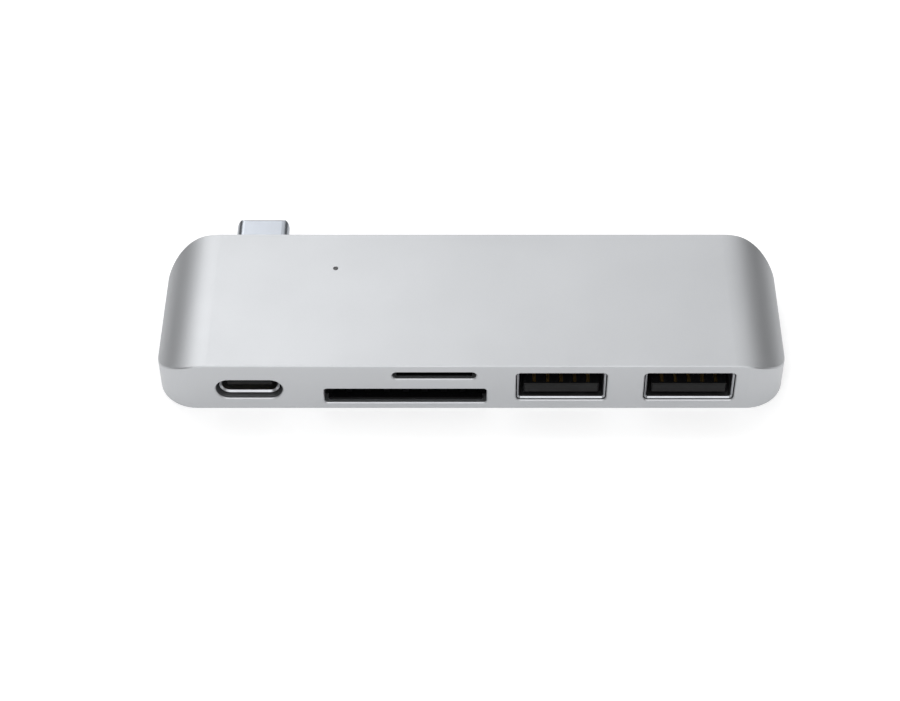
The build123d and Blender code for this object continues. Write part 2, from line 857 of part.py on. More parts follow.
def make_sd_switch_contacts():
    made = []
    for pivot_y, side in lever_spots().values():
        face = sd_x + side * (sd_slot_width / 2)
        plate = sorted((face + side * 0.83, face + side * 0.98))
        tip_y = pivot_y + lever_arm
        made.append(block(*plate, tip_y - 1.0, tip_y + 0.5, sd_floor_top, sd_cover_bottom - 0.1))
    return group(made)


microsd_lever_arm = 3.5
microsd_lever_x = microsd_left - 0.45
microsd_lever_y = microsd_front + 6.1


def microsd_contact_path():
    return [
        (microsd_back + 1.1, board_top + 0.06),
        (microsd_back + 0.15, board_top + 0.06),
        (microsd_back + 0.15, microsd_floor_top - 0.3),
        (microsd_back - 4.5, microsd_floor_top - 0.3),
        (microsd_back - 7.4, microsd_floor_top + 0.3),
        (microsd_back - 8.4, microsd_floor_top + 0.05),
    ]


def microsd_moulding():
    right = channel_right + 0.57
    outer_left = microsd_left - microsd_left_rail
    base = block(outer_left, right, microsd_front, microsd_back, microsd_bottom, microsd_rail_top)
    card_back = slider_front + 4.6 + 1.0 + slider_travel + 0.3
    base -= block(
        microsd_left, microsd_right, microsd_front - 1, card_back, microsd_floor_top,
        microsd_rail_top + 1,
    )
    base -= block(
        channel_left, channel_right, slider_front - 0.05, channel_back, slider_bottom - 0.05,
        microsd_rail_top + 1,
    )
    base -= block(
        microsd_right - 0.1, channel_left + 0.1, slider_front - 0.05, card_back, microsd_floor_top,
        microsd_rail_top + 1,
    )
    base -= block(
        channel_left, channel_right, channel_back - 0.1, microsd_back, slider_top,
        microsd_rail_top + 1,
    )
    base -= rod(left_track, pin_pivot_y, pin_wire / 2 + 0.03, pin_z - 0.65, pin_z)
    base -= block(
        outer_left + pocket_skin, microsd_left + 0.1, microsd_lever_y - 0.6,
        microsd_lever_y + microsd_lever_arm + 0.6, microsd_floor_top, microsd_rail_top + 1,
    )
    base -= rod(microsd_lever_x, microsd_lever_y, 0.21, microsd_floor_top - 0.2, microsd_floor_top)
    places = row(8, 1.1, microsd_x)
    for cutter in strips(microsd_contact_path(), contact_sheet + 0.04, 0.54, places):
        base -= cutter
    for x in places:
        base -= block(
            x - 0.38, x + 0.38, microsd_back - 8.8, microsd_back - 4.2,
            microsd_floor_top - 0.6, microsd_floor_top + 0.1,
        )
    return base


def make_microsd_base():
    nose = block(
        microsd_left, microsd_right, front + card_lip_set_back + nose_play, microsd_front,
        microsd_floor_top - microsd_nose, microsd_floor_top,
    )
    return below(microsd_moulding(), microsd_floor_top) + nose


def make_microsd_frame():
    return above(microsd_moulding(), microsd_floor_top)


def make_lever_pins():
    made = []
    for pivot_y, side in lever_spots().values():
        pin_x = sd_x + side * lever_pin_x
        made.append(
            rod(pin_x, pivot_y, lever_pin_radius, sd_floor_top - 0.2, sd_cover_bottom - 0.25)
        )
    made.append(
        rod(microsd_lever_x, microsd_lever_y, 0.2, microsd_floor_top - 0.2, microsd_rail_top - 0.15)
    )
    return group(made)


def make_microsd_cover():
    sheet = microsd_cover_sheet
    left = microsd_left - microsd_left_rail
    right = channel_right + 0.57
    top = microsd_rail_top + sheet
    cover = block(
        left - sheet, right + sheet, microsd_front + 0.1, microsd_back - 0.1, microsd_rail_top, top
    )
    for inner, outer in ((left - 0.02, left - sheet), (right + 0.02, right + sheet)):
        side = 1 if outer > inner else -1
        near, far = sorted((inner, outer))
        cover += block(near, far, microsd_front + 0.1, microsd_back - 0.1, microsd_bottom + 0.3, top)
        for y in (microsd_front + 1.6, microsd_back - 3.2):
            foot = sorted((inner, outer + side * 0.8))
            leg = sorted((inner, outer))
            cover += block(*foot, y, y + 1.4, board_top, board_top + sheet)
            cover += block(*leg, y, y + 1.4, board_top, top)
    return cover


def make_microsd_contacts():
    return group(strips(microsd_contact_path(), contact_sheet, 0.5, row(8, 1.1, microsd_x)))


def make_microsd_slider():
    left = slider_x - slider_width / 2
    right = slider_x + slider_width / 2
    bar = block(left, right, slider_front, slider_back, slider_bottom, slider_top)
    foot_y = slider_front + 4.6
    bar += block(
        microsd_right - 1.22, left + 0.1, foot_y, foot_y + 1.0, microsd_floor_top + 0.05, slider_top
    )
    bar -= along_y(Circle(spring_radius + 0.05), slider_x, spring_z, bore_front, slider_back)
    groove_front = pin_tip_y - slider_travel - 0.3
    groove_back = pin_tip_y + 0.42
    ring = block(
        left_track - track_width / 2, right_track + track_width / 2,
        groove_front, groove_back, slider_top - 0.3, slider_top,
    )
    ring -= block(
        left_track + track_width / 2, right_track - track_width / 2,
        groove_front + 0.62, groove_back - 0.66, slider_top - 0.3, slider_top,
    )
    return bar - ring


def make_microsd_spring():
    wire = spring_wire / 2
    length = channel_back - bore_front - spring_wire
    radius = spring_radius - wire
    coil = Helix(pitch=length / spring_turns, height=length, radius=radius)
    flat = wire * sqrt(pi / (spring_wire_sides * sin(pi / spring_wire_sides) * cos(pi / spring_wire_sides)))
    section = Plane(origin=coil @ 0, z_dir=coil % 0) * RegularPolygon(flat, spring_wire_sides)
    spring = sweep(section, path=coil)
    return Pos(slider_x, channel_back - wire, spring_z) * (Rot(90, 0, 0) * spring)


def make_microsd_latch_pin():
    radius = pin_wire / 2
    pin = rod(left_track, pin_pivot_y, radius, pin_z - 0.6, pin_z)
    pin += along_y(Circle(radius), left_track, pin_z, pin_tip_y, pin_pivot_y)
    pin += rod(left_track, pin_tip_y, radius, slider_top - 0.24, pin_z)
    for y in (pin_tip_y, pin_pivot_y):
        pin += Pos(left_track, y, pin_z) * Sphere(radius)
    return pin


def make_microsd_detect_lever():
    return make_lever(
        microsd_lever_x, microsd_lever_y, -1, 0.4, 0.2, microsd_lever_arm, 0.15, 0.32,
        microsd_floor_top + 0.05, microsd_rail_top - 0.3,
    )


def make_microsd_switch_contact():
    tip_y = microsd_lever_y + microsd_lever_arm
    return block(
        microsd_left - 0.73, microsd_left - 0.61, tip_y - 0.8, tip_y + 0.6, microsd_floor_top,
        microsd_rail_top - 0.1,
    )


def make_light_pipe():
    pipe = rod(light_x, light_y, light_hole / 2 - light_play, inner_roof, casing_height - 0.05)
    pipe += rod(light_x, light_y, 1.2, inner_roof - 0.6, inner_roof)
    return pipe + rod(light_x, light_y, 0.8, board_top + 0.7, inner_roof - 0.6)


def make_status_led():
    body = block(
        light_x - 0.8, light_x + 0.8, light_y - 0.4, light_y + 0.4, board_top, board_top + 0.3
    )
    lens = block(
        light_x - 0.5, light_x + 0.5, light_y - 0.4, light_y + 0.4, board_top + 0.3, board_top + 0.6
    )
    return body + lens


hub_chip_place = (17.0, back - 7.8)
chip_height = 0.9


def make_chip(x, y, size, height):
    body = block(x - size / 2, x + size / 2, y - size / 2, y + size / 2, board_top, board_top + height)
    body = chamfer(body.faces().sort_by(Axis.Z)[-1].edges(), 0.1)
    corner = size / 2 - 0.7
    return body - rod(x - corner, y - corner, 0.3, board_top + height - 0.08, board_top + height)


def make_thermal_pad():
    x, y = hub_chip_place
    return block(x - 3.5, x + 3.5, y - 3.5, y + 3.5, board_top + chip_height, inner_roof)


def make_clock_crystal():
    can = block(23.4, 26.6, back - 6.75, back - 4.25, board_top, board_top + 0.7)
    return fillet(can.edges().filter_by(Axis.Z), 0.3)


def make_inductors():
    made = []
    for x in (30.0, 36.0):
        y = back - 8.0
        core = block(x - 2.0, x + 2.0, y - 2.0, y + 2.0, board_top, board_top + 2.0)
        made.append(fillet(core.edges().filter_by(Axis.Z), 0.6))
    return group(made)


capacitor_size = (1.6, 0.8, 0.8)
resistor_size = (1.0, 0.5, 0.35)
capacitor_places = [(-14.0 + 2.4 * index, back - 3.6) for index in range(2)]
capacitor_places += [(plug_x + 8.0, front + 4.0 + 2.0 * index) for index in range(4)]
capacitor_places += [
    (between_usb_a + 1.15, front + 15.2),
    (between_usb_a - 0.25, front + 17.0),
    (half_length - 6.4, front + 17.0),
]
capacitor_places += [(-16.5, back - 9.5 + 1.6 * index) for index in range(2)]
resistor_places = [(-13.4 + 1.6 * index, back - 5.6) for index in range(2)]
resistor_places += [(11.2, back - 9.4 + 1.3 * index) for index in range(4)]
resistor_places += [(between_usb_a, front + 4.2 + 1.4 * index) for index in range(3)]


def small_parts(places, size, inset_from, inset_to):
    # slices of each small part between two distances from its end, both ends alike
    made = []
    length, width, height = size
    for x, y in places:
        for side in (-1, 1):
            near, far = sorted((x + side * (length / 2 - inset_to), x + side * (length / 2 - inset_from)))
            made.append(block(near, far, y - width / 2, y + width / 2, board_top, board_top + height))
    return made


def middle_parts(places, size, inset):
    length, width, height = size
    half = length / 2 - inset
    return [
        block(x - half, x + half, y - width / 2, y + width / 2, board_top, board_top + height)
        for x, y in places
    ]


def make_terminals():
    made = small_parts(capacitor_places, capacitor_size, 0, 0.3)
    return group(made + small_parts(resistor_places, resistor_size, 0, 0.2))


def make_protection_diodes():
    made = []
    for x in [plug_x + 6.4] + [place + 9.4 for place in usb_a_places]:
        y = front + 11.0
        made.append(block(x - 0.5, x + 0.5, y - 1.25, y + 1.25, board_top, board_top + 0.5))
    return group(made)


def make_power_switches():
    made = []
    for y in (front + 5.6, front + 9.4):
        made.append(make_chip(-17.4, y, 3.0, 0.8))
    return group(made)


parts = {
    "top_housing": make_top_housing(),
    "bottom_cover": make_bottom_cover(),
    "adhesive_frame": make_adhesive_frame(),
    "insulating_film": make_insulating_film(),
    "thermal_pad": make_thermal_pad(),
    "light_pipe": make_light_pipe(),
    "status_led": make_status_led(),
    "main_board": make_main_board(),
    "board_screws": make_screws(board_bosses, board_bottom),
    "bracket_screws": make_screws(bracket_bosses, board_bottom - bracket_sheet),
    "plug_shell": make_plug_shell(),
    "plug_insulator": make_plug_insulator(),
    "plug_carriers": make_plug_carriers(),
    "plug_contacts": make_plug_contacts(),
    "plug_latch_plate": make_plug_latch_plate(),
    "plug_bracket": make_plug_bracket(),
    "usb_c_shell": make_usb_c_shell(),
    "usb_c_tongue": make_usb_c_tongue(),
    "usb_c_insulator": make_usb_c_insulator(),
    "usb_c_mid_plate": make_usb_c_mid_plate(),
    "usb_c_contacts": make_usb_c_contacts(),
    "sd_base": make_sd_base(),
    "sd_frame": make_sd_frame(),
    "sd_cover": make_sd_cover(),
    "lever_pins": make_lever_pins(),
    "sd_contacts": make_sd_contacts(),
    "sd_detect_lever": make_sd_lever("detect"),
    "sd_protect_lever": make_sd_lever("protect"),
    "sd_switch_contacts": make_sd_switch_contacts(),
    "microsd_base": make_microsd_base(),
    "microsd_frame": make_microsd_frame(),
    "microsd_cover": make_microsd_cover(),
    "microsd_contacts": make_microsd_contacts(),
    "microsd_slider": make_microsd_slider(),
    "microsd_spring": make_microsd_spring(),
    "microsd_latch_pin": make_microsd_latch_pin(),
    "microsd_detect_lever": make_microsd_detect_lever(),
    "microsd_switch_contact": make_microsd_switch_contact(),
    "hub_chip": make_chip(*hub_chip_place, 8.0, chip_height),
    "reader_chip": make_chip(-6.0, back - 5.0, 5.0, 0.8),
    "power_chip": make_chip(-22.0, front + 16.0, 5.0, 0.8),
    "power_switches": make_power_switches(),
    "clock_crystal": make_clock_crystal(),
    "inductors": make_inductors(),
    "capacitors": group(middle_parts(capacitor_places, capacitor_size, 0.3)),
    "resistors": group(middle_parts(resistor_places, resistor_size, 0.2)),
    "part_terminals": make_terminals(),
    "protection_diodes": make_protection_diodes(),
}
for number, place in enumerate(usb_a_places, 1):
    parts[f"usb_a_{number}_shell"] = make_usb_a_shell(place)
    parts[f"usb_a_{number}_tongue"] = make_usb_a_tongue(place)
    parts[f"usb_a_{number}_spacer"] = make_usb_a_spacer(place)
    parts[f"usb_a_{number}_power_contacts"] = make_usb_a_power_contacts(place)
    parts[f"usb_a_{number}_fast_contacts"] = make_usb_a_fast_contacts(place)

os.makedirs("parts", exist_ok=True)
for name, shape in parts.items():
    export_step(shape, f"parts/{name}.step")
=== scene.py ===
import bpy
import json
import math
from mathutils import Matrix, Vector


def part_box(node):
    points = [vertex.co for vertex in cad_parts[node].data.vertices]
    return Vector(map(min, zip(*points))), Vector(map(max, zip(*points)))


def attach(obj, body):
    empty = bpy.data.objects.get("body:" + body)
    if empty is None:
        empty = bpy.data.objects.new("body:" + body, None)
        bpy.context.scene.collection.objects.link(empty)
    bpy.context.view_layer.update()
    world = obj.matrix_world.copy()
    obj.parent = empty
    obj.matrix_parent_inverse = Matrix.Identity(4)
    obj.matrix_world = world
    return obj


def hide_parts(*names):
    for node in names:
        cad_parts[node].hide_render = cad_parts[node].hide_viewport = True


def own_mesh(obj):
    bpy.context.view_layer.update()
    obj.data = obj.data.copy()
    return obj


print("hub: loading the frame")
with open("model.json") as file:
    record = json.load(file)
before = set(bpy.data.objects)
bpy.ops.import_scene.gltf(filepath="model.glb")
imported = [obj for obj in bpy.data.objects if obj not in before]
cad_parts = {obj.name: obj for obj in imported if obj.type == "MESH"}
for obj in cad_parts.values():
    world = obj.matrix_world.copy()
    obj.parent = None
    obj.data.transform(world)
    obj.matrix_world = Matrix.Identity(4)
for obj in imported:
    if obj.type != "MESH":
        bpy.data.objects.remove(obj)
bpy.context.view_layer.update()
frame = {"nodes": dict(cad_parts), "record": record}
bpy.ops.object.select_all(action="DESELECT")
nodes = frame["nodes"]
scene = bpy.context.scene


# small helpers for building node trees; a Mix node's sockets go by number: 0 is the share,
# 2 and 3 are numbers, 6 and 7 are colours
def addNode(tree, kind, **settings):
    node = tree.nodes.new(kind)
    for name, value in settings.items():
        if hasattr(node, name):
            setattr(node, name, value)
        else:
            node.inputs[name].default_value = value
    return node


def wire(tree, source, target):
    tree.links.new(source, target)


def openGroup(name, inputs, outputs):
    # a node group with named sockets: (name, kind, start value)
    tree = bpy.data.node_groups.new(name, "ShaderNodeTree")
    for label, kind, value in inputs:
        socket = tree.interface.new_socket(name=label, in_out="INPUT", socket_type=kind)
        if value is not None:
            socket.default_value = value
    for label, kind in outputs:
        tree.interface.new_socket(name=label, in_out="OUTPUT", socket_type=kind)
    entry = tree.nodes.new("NodeGroupInput")
    leave = tree.nodes.new("NodeGroupOutput")
    return tree, entry, leave


def placeGroup(tree, group, **values):
    node = tree.nodes.new("ShaderNodeGroup")
    node.node_tree = group
    for label, value in values.items():
        node.inputs[label].default_value = value
    return node


grainPattern = {
    "pitDetail": 3.0, "pitRoughness": 0.65, "cloudDetail": 4.0, "cloudRoughness": 0.55,
    "cloudShare": 0.5, "glossFrom": 0.3, "glossTo": 0.7,
}


def makeGrain(pattern):
    # fine pitted skin: small pits, larger clouds, and a colour that drifts a little between them
    tree, entry, leave = openGroup(
        "fineGrain",
        [("Vector", "NodeSocketVector", None), ("Size", "NodeSocketFloat", 5000.0),
         ("Cloud Size", "NodeSocketFloat", 60.0), ("Light", "NodeSocketColor", (0.8, 0.8, 0.8, 1)),
         ("Dark", "NodeSocketColor", (0.6, 0.6, 0.6, 1)), ("Smooth", "NodeSocketFloat", 0.3),
         ("Rough", "NodeSocketFloat", 0.5)],
        [("Color", "NodeSocketColor"), ("Roughness", "NodeSocketFloat"), ("Height", "NodeSocketFloat")],
    )
    pits = addNode(
        tree, "ShaderNodeTexNoise", Detail=pattern["pitDetail"], Roughness=pattern["pitRoughness"],
    )
    clouds = addNode(
        tree, "ShaderNodeTexNoise", Detail=pattern["cloudDetail"], Roughness=pattern["cloudRoughness"],
    )
    blend = addNode(tree, "ShaderNodeMix", data_type="FLOAT")
    tint = addNode(tree, "ShaderNodeMix", data_type="RGBA")
    gloss = addNode(tree, "ShaderNodeMapRange")
    wire(tree, entry.outputs["Vector"], pits.inputs["Vector"])
    wire(tree, entry.outputs["Vector"], clouds.inputs["Vector"])
    wire(tree, entry.outputs["Size"], pits.inputs["Scale"])
    wire(tree, entry.outputs["Cloud Size"], clouds.inputs["Scale"])
    blend.inputs[0].default_value = pattern["cloudShare"]
    wire(tree, pits.outputs["Fac"], blend.inputs[2])
    wire(tree, clouds.outputs["Fac"], blend.inputs[3])
    wire(tree, blend.outputs[0], tint.inputs[0])
    wire(tree, entry.outputs["Light"], tint.inputs[6])
    wire(tree, entry.outputs["Dark"], tint.inputs[7])
    wire(tree, blend.outputs[0], gloss.inputs["Value"])
    gloss.inputs["From Min"].default_value = pattern["glossFrom"]
    gloss.inputs["From Max"].default_value = pattern["glossTo"]
    wire(tree, entry.outputs["Smooth"], gloss.inputs["To Min"])
    wire(tree, entry.outputs["Rough"], gloss.inputs["To Max"])
    wire(tree, tint.outputs[2], leave.inputs["Color"])
    wire(tree, gloss.outputs["Result"], leave.inputs["Roughness"])
    wire(tree, pits.outputs["Fac"], leave.inputs["Height"])
    return tree


linePattern = {
    "lineDetail": 5.0, "lineRoughness": 0.6, "stainSize": 450.0, "stainDetail": 3.0,
    "stainRoughness": 0.6, "stainShare": 0.4, "glossFrom": 0.3, "glossTo": 0.7,
}


def makeDrawnLines(pattern):
    # long fine lines left by rolling, drawing or brushing; Stretch sets how far they run
    tree, entry, leave = openGroup(
        "drawnLines",
        [("Vector", "NodeSocketVector", None), ("Stretch", "NodeSocketVector", (1.0, 0.04, 1.0)),
         ("Size", "NodeSocketFloat", 9000.0), ("Light", "NodeSocketColor", (0.7, 0.7, 0.7, 1)),
         ("Dark", "NodeSocketColor", (0.5, 0.5, 0.5, 1)), ("Smooth", "NodeSocketFloat", 0.15),
         ("Rough", "NodeSocketFloat", 0.35)],
        [("Color", "NodeSocketColor"), ("Roughness", "NodeSocketFloat"), ("Height", "NodeSocketFloat")],
    )
    turn = addNode(tree, "ShaderNodeVectorMath", operation="MULTIPLY")
    lines = addNode(
        tree, "ShaderNodeTexNoise", Detail=pattern["lineDetail"], Roughness=pattern["lineRoughness"],
    )
    stains = addNode(
        tree, "ShaderNodeTexNoise", Scale=pattern["stainSize"], Detail=pattern["stainDetail"],
        Roughness=pattern["stainRoughness"],
    )
    blend = addNode(tree, "ShaderNodeMix", data_type="FLOAT")
    tint = addNode(tree, "ShaderNodeMix", data_type="RGBA")
    gloss = addNode(tree, "ShaderNodeMapRange")
    wire(tree, entry.outputs["Vector"], turn.inputs[0])
    wire(tree, entry.outputs["Stretch"], turn.inputs[1])
    wire(tree, turn.outputs[0], lines.inputs["Vector"])
    wire(tree, entry.outputs["Vector"], stains.inputs["Vector"])
    wire(tree, entry.outputs["Size"], lines.inputs["Scale"])
    blend.inputs[0].default_value = pattern["stainShare"]
    wire(tree, lines.outputs["Fac"], blend.inputs[2])
    wire(tree, stains.outputs["Fac"], blend.inputs[3])
    wire(tree, blend.outputs[0], tint.inputs[0])
    wire(tree, entry.outputs["Light"], tint.inputs[6])
    wire(tree, entry.outputs["Dark"], tint.inputs[7])
    wire(tree, blend.outputs[0], gloss.inputs["Value"])
    gloss.inputs["From Min"].default_value = pattern["glossFrom"]
    gloss.inputs["From Max"].default_value = pattern["glossTo"]
    wire(tree, entry.outputs["Smooth"], gloss.inputs["To Min"])
    wire(tree, entry.outputs["Rough"], gloss.inputs["To Max"])
    wire(tree, tint.outputs[2], leave.inputs["Color"])
    wire(tree, gloss.outputs["Result"], leave.inputs["Roughness"])
    wire(tree, lines.outputs["Fac"], leave.inputs["Height"])
    return tree


print("hub: building the shared effects")
grain = makeGrain(grainPattern)
drawnLines = makeDrawnLines(linePattern)


def finishMaterial(name, effect, look, values):
    # object coordinates through one effect into a Principled shader, with its height as bump
    material = bpy.data.materials.new(name)
    material.use_nodes = True
    tree = material.node_tree
    tree.nodes.clear()
    place = addNode(tree, "ShaderNodeTexCoord")
    skin = placeGroup(tree, effect, **values)
    shader = addNode(tree, "ShaderNodeBsdfPrincipled")
    bump = addNode(tree, "ShaderNodeBump")
    output = addNode(tree, "ShaderNodeOutputMaterial")
    wire(tree, place.outputs["Object"], skin.inputs["Vector"])
    wire(tree, skin.outputs["Color"], shader.inputs["Base Color"])
    wire(tree, skin.outputs["Roughness"], shader.inputs["Roughness"])
    wire(tree, skin.outputs["Height"], bump.inputs["Height"])
    wire(tree, bump.outputs["Normal"], shader.inputs["Normal"])
    wire(tree, shader.outputs["BSDF"], output.inputs["Surface"])
    bump.inputs["Strength"].default_value = look["bumpStrength"]
    bump.inputs["Distance"].default_value = look["bumpDepth"]
    shader.inputs["Metallic"].default_value = look["metallic"]
    for label, value in look.get("shader", {}).items():
        shader.inputs[label].default_value = value
    return material


def colour(red, green, blue):
    return (red, green, blue, 1.0)


# metals
anodised = {
    "light": colour(0.505, 0.515, 0.53), "dark": colour(0.475, 0.485, 0.5),
    "smooth": 0.42, "rough": 0.5, "pitSize": 7000.0, "cloudSize": 45.0,
    "bumpStrength": 0.25, "bumpDepth": 0.00002, "metallic": 1.0,
}
plugSteel = {
    "light": colour(0.32, 0.34, 0.37), "dark": colour(0.285, 0.302, 0.33),
    "smooth": 0.2, "rough": 0.27, "lineSize": 9000.0, "stretch": (1.0, 0.04, 1.0),
    "bumpStrength": 0.04, "bumpDepth": 0.00001, "metallic": 1.0,
}
socketSteel = {
    "light": colour(0.5, 0.51, 0.53), "dark": colour(0.38, 0.39, 0.41),
    "smooth": 0.26, "rough": 0.42, "lineSize": 7000.0, "stretch": (1.0, 0.06, 1.0),
    "bumpStrength": 0.2, "bumpDepth": 0.00001, "metallic": 1.0,
}
springSteel = {
    "light": colour(0.5, 0.49, 0.47), "dark": colour(0.36, 0.355, 0.35),
    "smooth": 0.2, "rough": 0.4, "lineSize": 9000.0, "stretch": (0.08, 1.0, 1.0),
    "bumpStrength": 0.15, "bumpDepth": 0.00001, "metallic": 1.0,
}
screwSteel = {
    "light": colour(0.5, 0.5, 0.49), "dark": colour(0.33, 0.33, 0.33),
    "smooth": 0.25, "rough": 0.5, "pitSize": 5000.0, "cloudSize": 400.0,
    "bumpStrength": 0.3, "bumpDepth": 0.00002, "metallic": 1.0,
}
goldContact = {
    "light": colour(0.66, 0.46, 0.18), "dark": colour(0.44, 0.29, 0.1),
    "smooth": 0.24, "rough": 0.42, "lineSize": 12000.0, "stretch": (1.0, 0.05, 1.0),
    "bumpStrength": 0.15, "bumpDepth": 0.00001, "metallic": 1.0,
}
tinCap = {
    "light": colour(0.72, 0.72, 0.7), "dark": colour(0.5, 0.5, 0.5),
    "smooth": 0.25, "rough": 0.5, "pitSize": 9000.0, "cloudSize": 900.0,
    "bumpStrength": 0.5, "bumpDepth": 0.00003, "metallic": 1.0,
}

# plastics, ceramics, rubber
blackPolymer = {
    "light": colour(0.005, 0.005, 0.0056), "dark": colour(0.0025, 0.0025, 0.0028),
    "smooth": 0.38, "rough": 0.6, "pitSize": 6000.0, "cloudSize": 300.0,
    "bumpStrength": 0.35, "bumpDepth": 0.00002, "metallic": 0.0,
    "shader": {"Specular IOR Level": 0.2},
}
cardPolymer = {
    "light": colour(0.0032, 0.0032, 0.0036), "dark": colour(0.0016, 0.0016, 0.0018),
    "smooth": 0.45, "rough": 0.7, "pitSize": 5000.0, "cloudSize": 260.0,
    "bumpStrength": 0.4, "bumpDepth": 0.00002, "metallic": 0.0,
    "shader": {"Specular IOR Level": 0.08},
}
sliderPolymer = {
    "light": colour(0.5, 0.48, 0.43), "dark": colour(0.38, 0.365, 0.33),
    "smooth": 0.35, "rough": 0.55, "pitSize": 6000.0, "cloudSize": 500.0,
    "bumpStrength": 0.25, "bumpDepth": 0.00001, "metallic": 0.0,
}
lightGuide = {
    "light": colour(0.05, 0.05, 0.052), "dark": colour(0.03, 0.03, 0.032),
    "smooth": 0.15, "rough": 0.3, "pitSize": 3000.0, "cloudSize": 800.0,
    "bumpStrength": 0.1, "bumpDepth": 0.00001, "metallic": 0.0,
}
phosphor = {
    "light": colour(0.85, 0.78, 0.4), "dark": colour(0.72, 0.63, 0.28),
    "smooth": 0.25, "rough": 0.45, "pitSize": 9000.0, "cloudSize": 900.0,
    "bumpStrength": 0.3, "bumpDepth": 0.00001, "metallic": 0.0,
}
mouldingResin = {
    "light": colour(0.035, 0.035, 0.036), "dark": colour(0.018, 0.018, 0.019),
    "smooth": 0.5, "rough": 0.75, "pitSize": 8000.0, "cloudSize": 500.0,
    "bumpStrength": 0.5, "bumpDepth": 0.00002, "metallic": 0.0,
}
ferriteGrey = {
    "light": colour(0.17, 0.17, 0.17), "dark": colour(0.08, 0.08, 0.082),
    "smooth": 0.5, "rough": 0.8, "pitSize": 4500.0, "cloudSize": 700.0,
    "bumpStrength": 0.6, "bumpDepth": 0.00003, "metallic": 0.0,
}
tanCeramic = {
    "light": colour(0.56, 0.37, 0.2), "dark": colour(0.4, 0.25, 0.12),
    "smooth": 0.4, "rough": 0.65, "pitSize": 9000.0, "cloudSize": 900.0,
    "bumpStrength": 0.4, "bumpDepth": 0.00002, "metallic": 0.0,
}
blackGlaze = {
    "light": colour(0.03, 0.03, 0.034), "dark": colour(0.012, 0.012, 0.014),
    "smooth": 0.15, "rough": 0.35, "pitSize": 9000.0, "cloudSize": 900.0,
    "bumpStrength": 0.3, "bumpDepth": 0.00001, "metallic": 0.0,
}
foamTape = {
    "light": colour(0.03, 0.03, 0.03), "dark": colour(0.014, 0.014, 0.014),
    "smooth": 0.75, "rough": 0.95, "pitSize": 3500.0, "cloudSize": 200.0,
    "bumpStrength": 0.6, "bumpDepth": 0.00004, "metallic": 0.0,
}
blackFilm = {
    "light": colour(0.022, 0.022, 0.024), "dark": colour(0.012, 0.012, 0.013),
    "smooth": 0.3, "rough": 0.5, "pitSize": 900.0, "cloudSize": 60.0,
    "bumpStrength": 0.15, "bumpDepth": 0.00003, "metallic": 0.0,
}
siliconePad = {
    "light": colour(0.3, 0.38, 0.46), "dark": colour(0.2, 0.27, 0.34),
    "smooth": 0.6, "rough": 0.85, "pitSize": 2500.0, "cloudSize": 400.0,
    "bumpStrength": 0.5, "bumpDepth": 0.00005, "metallic": 0.0,
}


def grainFinish(name, look):
    return finishMaterial(name, grain, look, {
        "Size": look["pitSize"], "Cloud Size": look["cloudSize"],
        "Light": look["light"], "Dark": look["dark"],
        "Smooth": look["smooth"], "Rough": look["rough"],
    })


def drawnFinish(name, look):
    return finishMaterial(name, drawnLines, look, {
        "Size": look["lineSize"], "Stretch": look["stretch"],
        "Light": look["light"], "Dark": look["dark"],
        "Smooth": look["smooth"], "Rough": look["rough"],
    })


solderMask = {
    "maskLight": colour(0.012, 0.075, 0.04), "maskDark": colour(0.006, 0.04, 0.022),
    "track": colour(0.012, 0.085, 0.046), "smooth": 0.2, "rough": 0.4,
    "pitSize": 3000.0, "cloudSize": 120.0, "bumpStrength": 0.4, "bumpDepth": 0.00004,
    "trackScale": 200.0, "trackWidth": 0.016, "trackRun": 2.7, "trackSpacing": 0.13,
    "trackStep": 0.37,
}


def makeBoardMaterial(look):
    # green mask over copper tracks: long parallel tracks with a step here and there, raised a little
    material = bpy.data.materials.new("boardMask")
    material.use_nodes = True
    tree = material.node_tree
    tree.nodes.clear()
    place = addNode(tree, "ShaderNodeTexCoord")
    skin = placeGroup(tree, grain, **{
        "Size": look["pitSize"], "Cloud Size": look["cloudSize"],
        "Light": look["maskLight"], "Dark": look["maskDark"],
        "Smooth": look["smooth"], "Rough": look["rough"],
    })
    tracks = addNode(tree, "ShaderNodeTexBrick", Scale=look["trackScale"], offset=look["trackStep"])
    tracks.inputs["Mortar Size"].default_value = look["trackWidth"]
    tracks.inputs["Brick Width"].default_value = look["trackRun"]
    tracks.inputs["Row Height"].default_value = look["trackSpacing"]
    tracks.inputs["Color1"].default_value = colour(0, 0, 0)
    tracks.inputs["Color2"].default_value = colour(0, 0, 0)
    tracks.inputs["Mortar"].default_value = colour(1, 1, 1)
    paint = addNode(tree, "ShaderNodeMix", data_type="RGBA")
    shader = addNode(tree, "ShaderNodeBsdfPrincipled")
    bump = addNode(
        tree, "ShaderNodeBump", Strength=look["bumpStrength"], Distance=look["bumpDepth"],
    )
    output = addNode(tree, "ShaderNodeOutputMaterial")
    wire(tree, place.outputs["Object"], skin.inputs["Vector"])
    wire(tree, place.outputs["Object"], tracks.inputs["Vector"])
    wire(tree, tracks.outputs["Color"], paint.inputs[0])
    wire(tree, skin.outputs["Color"], paint.inputs[6])
    paint.inputs[7].default_value = look["track"]
    wire(tree, paint.outputs[2], shader.inputs["Base Color"])
    wire(tree, skin.outputs["Roughness"], shader.inputs["Roughness"])
    wire(tree, tracks.outputs["Color"], bump.inputs["Height"])
    wire(tree, bump.outputs["Normal"], shader.inputs["Normal"])
    wire(tree, shader.outputs["BSDF"], output.inputs["Surface"])
    return material


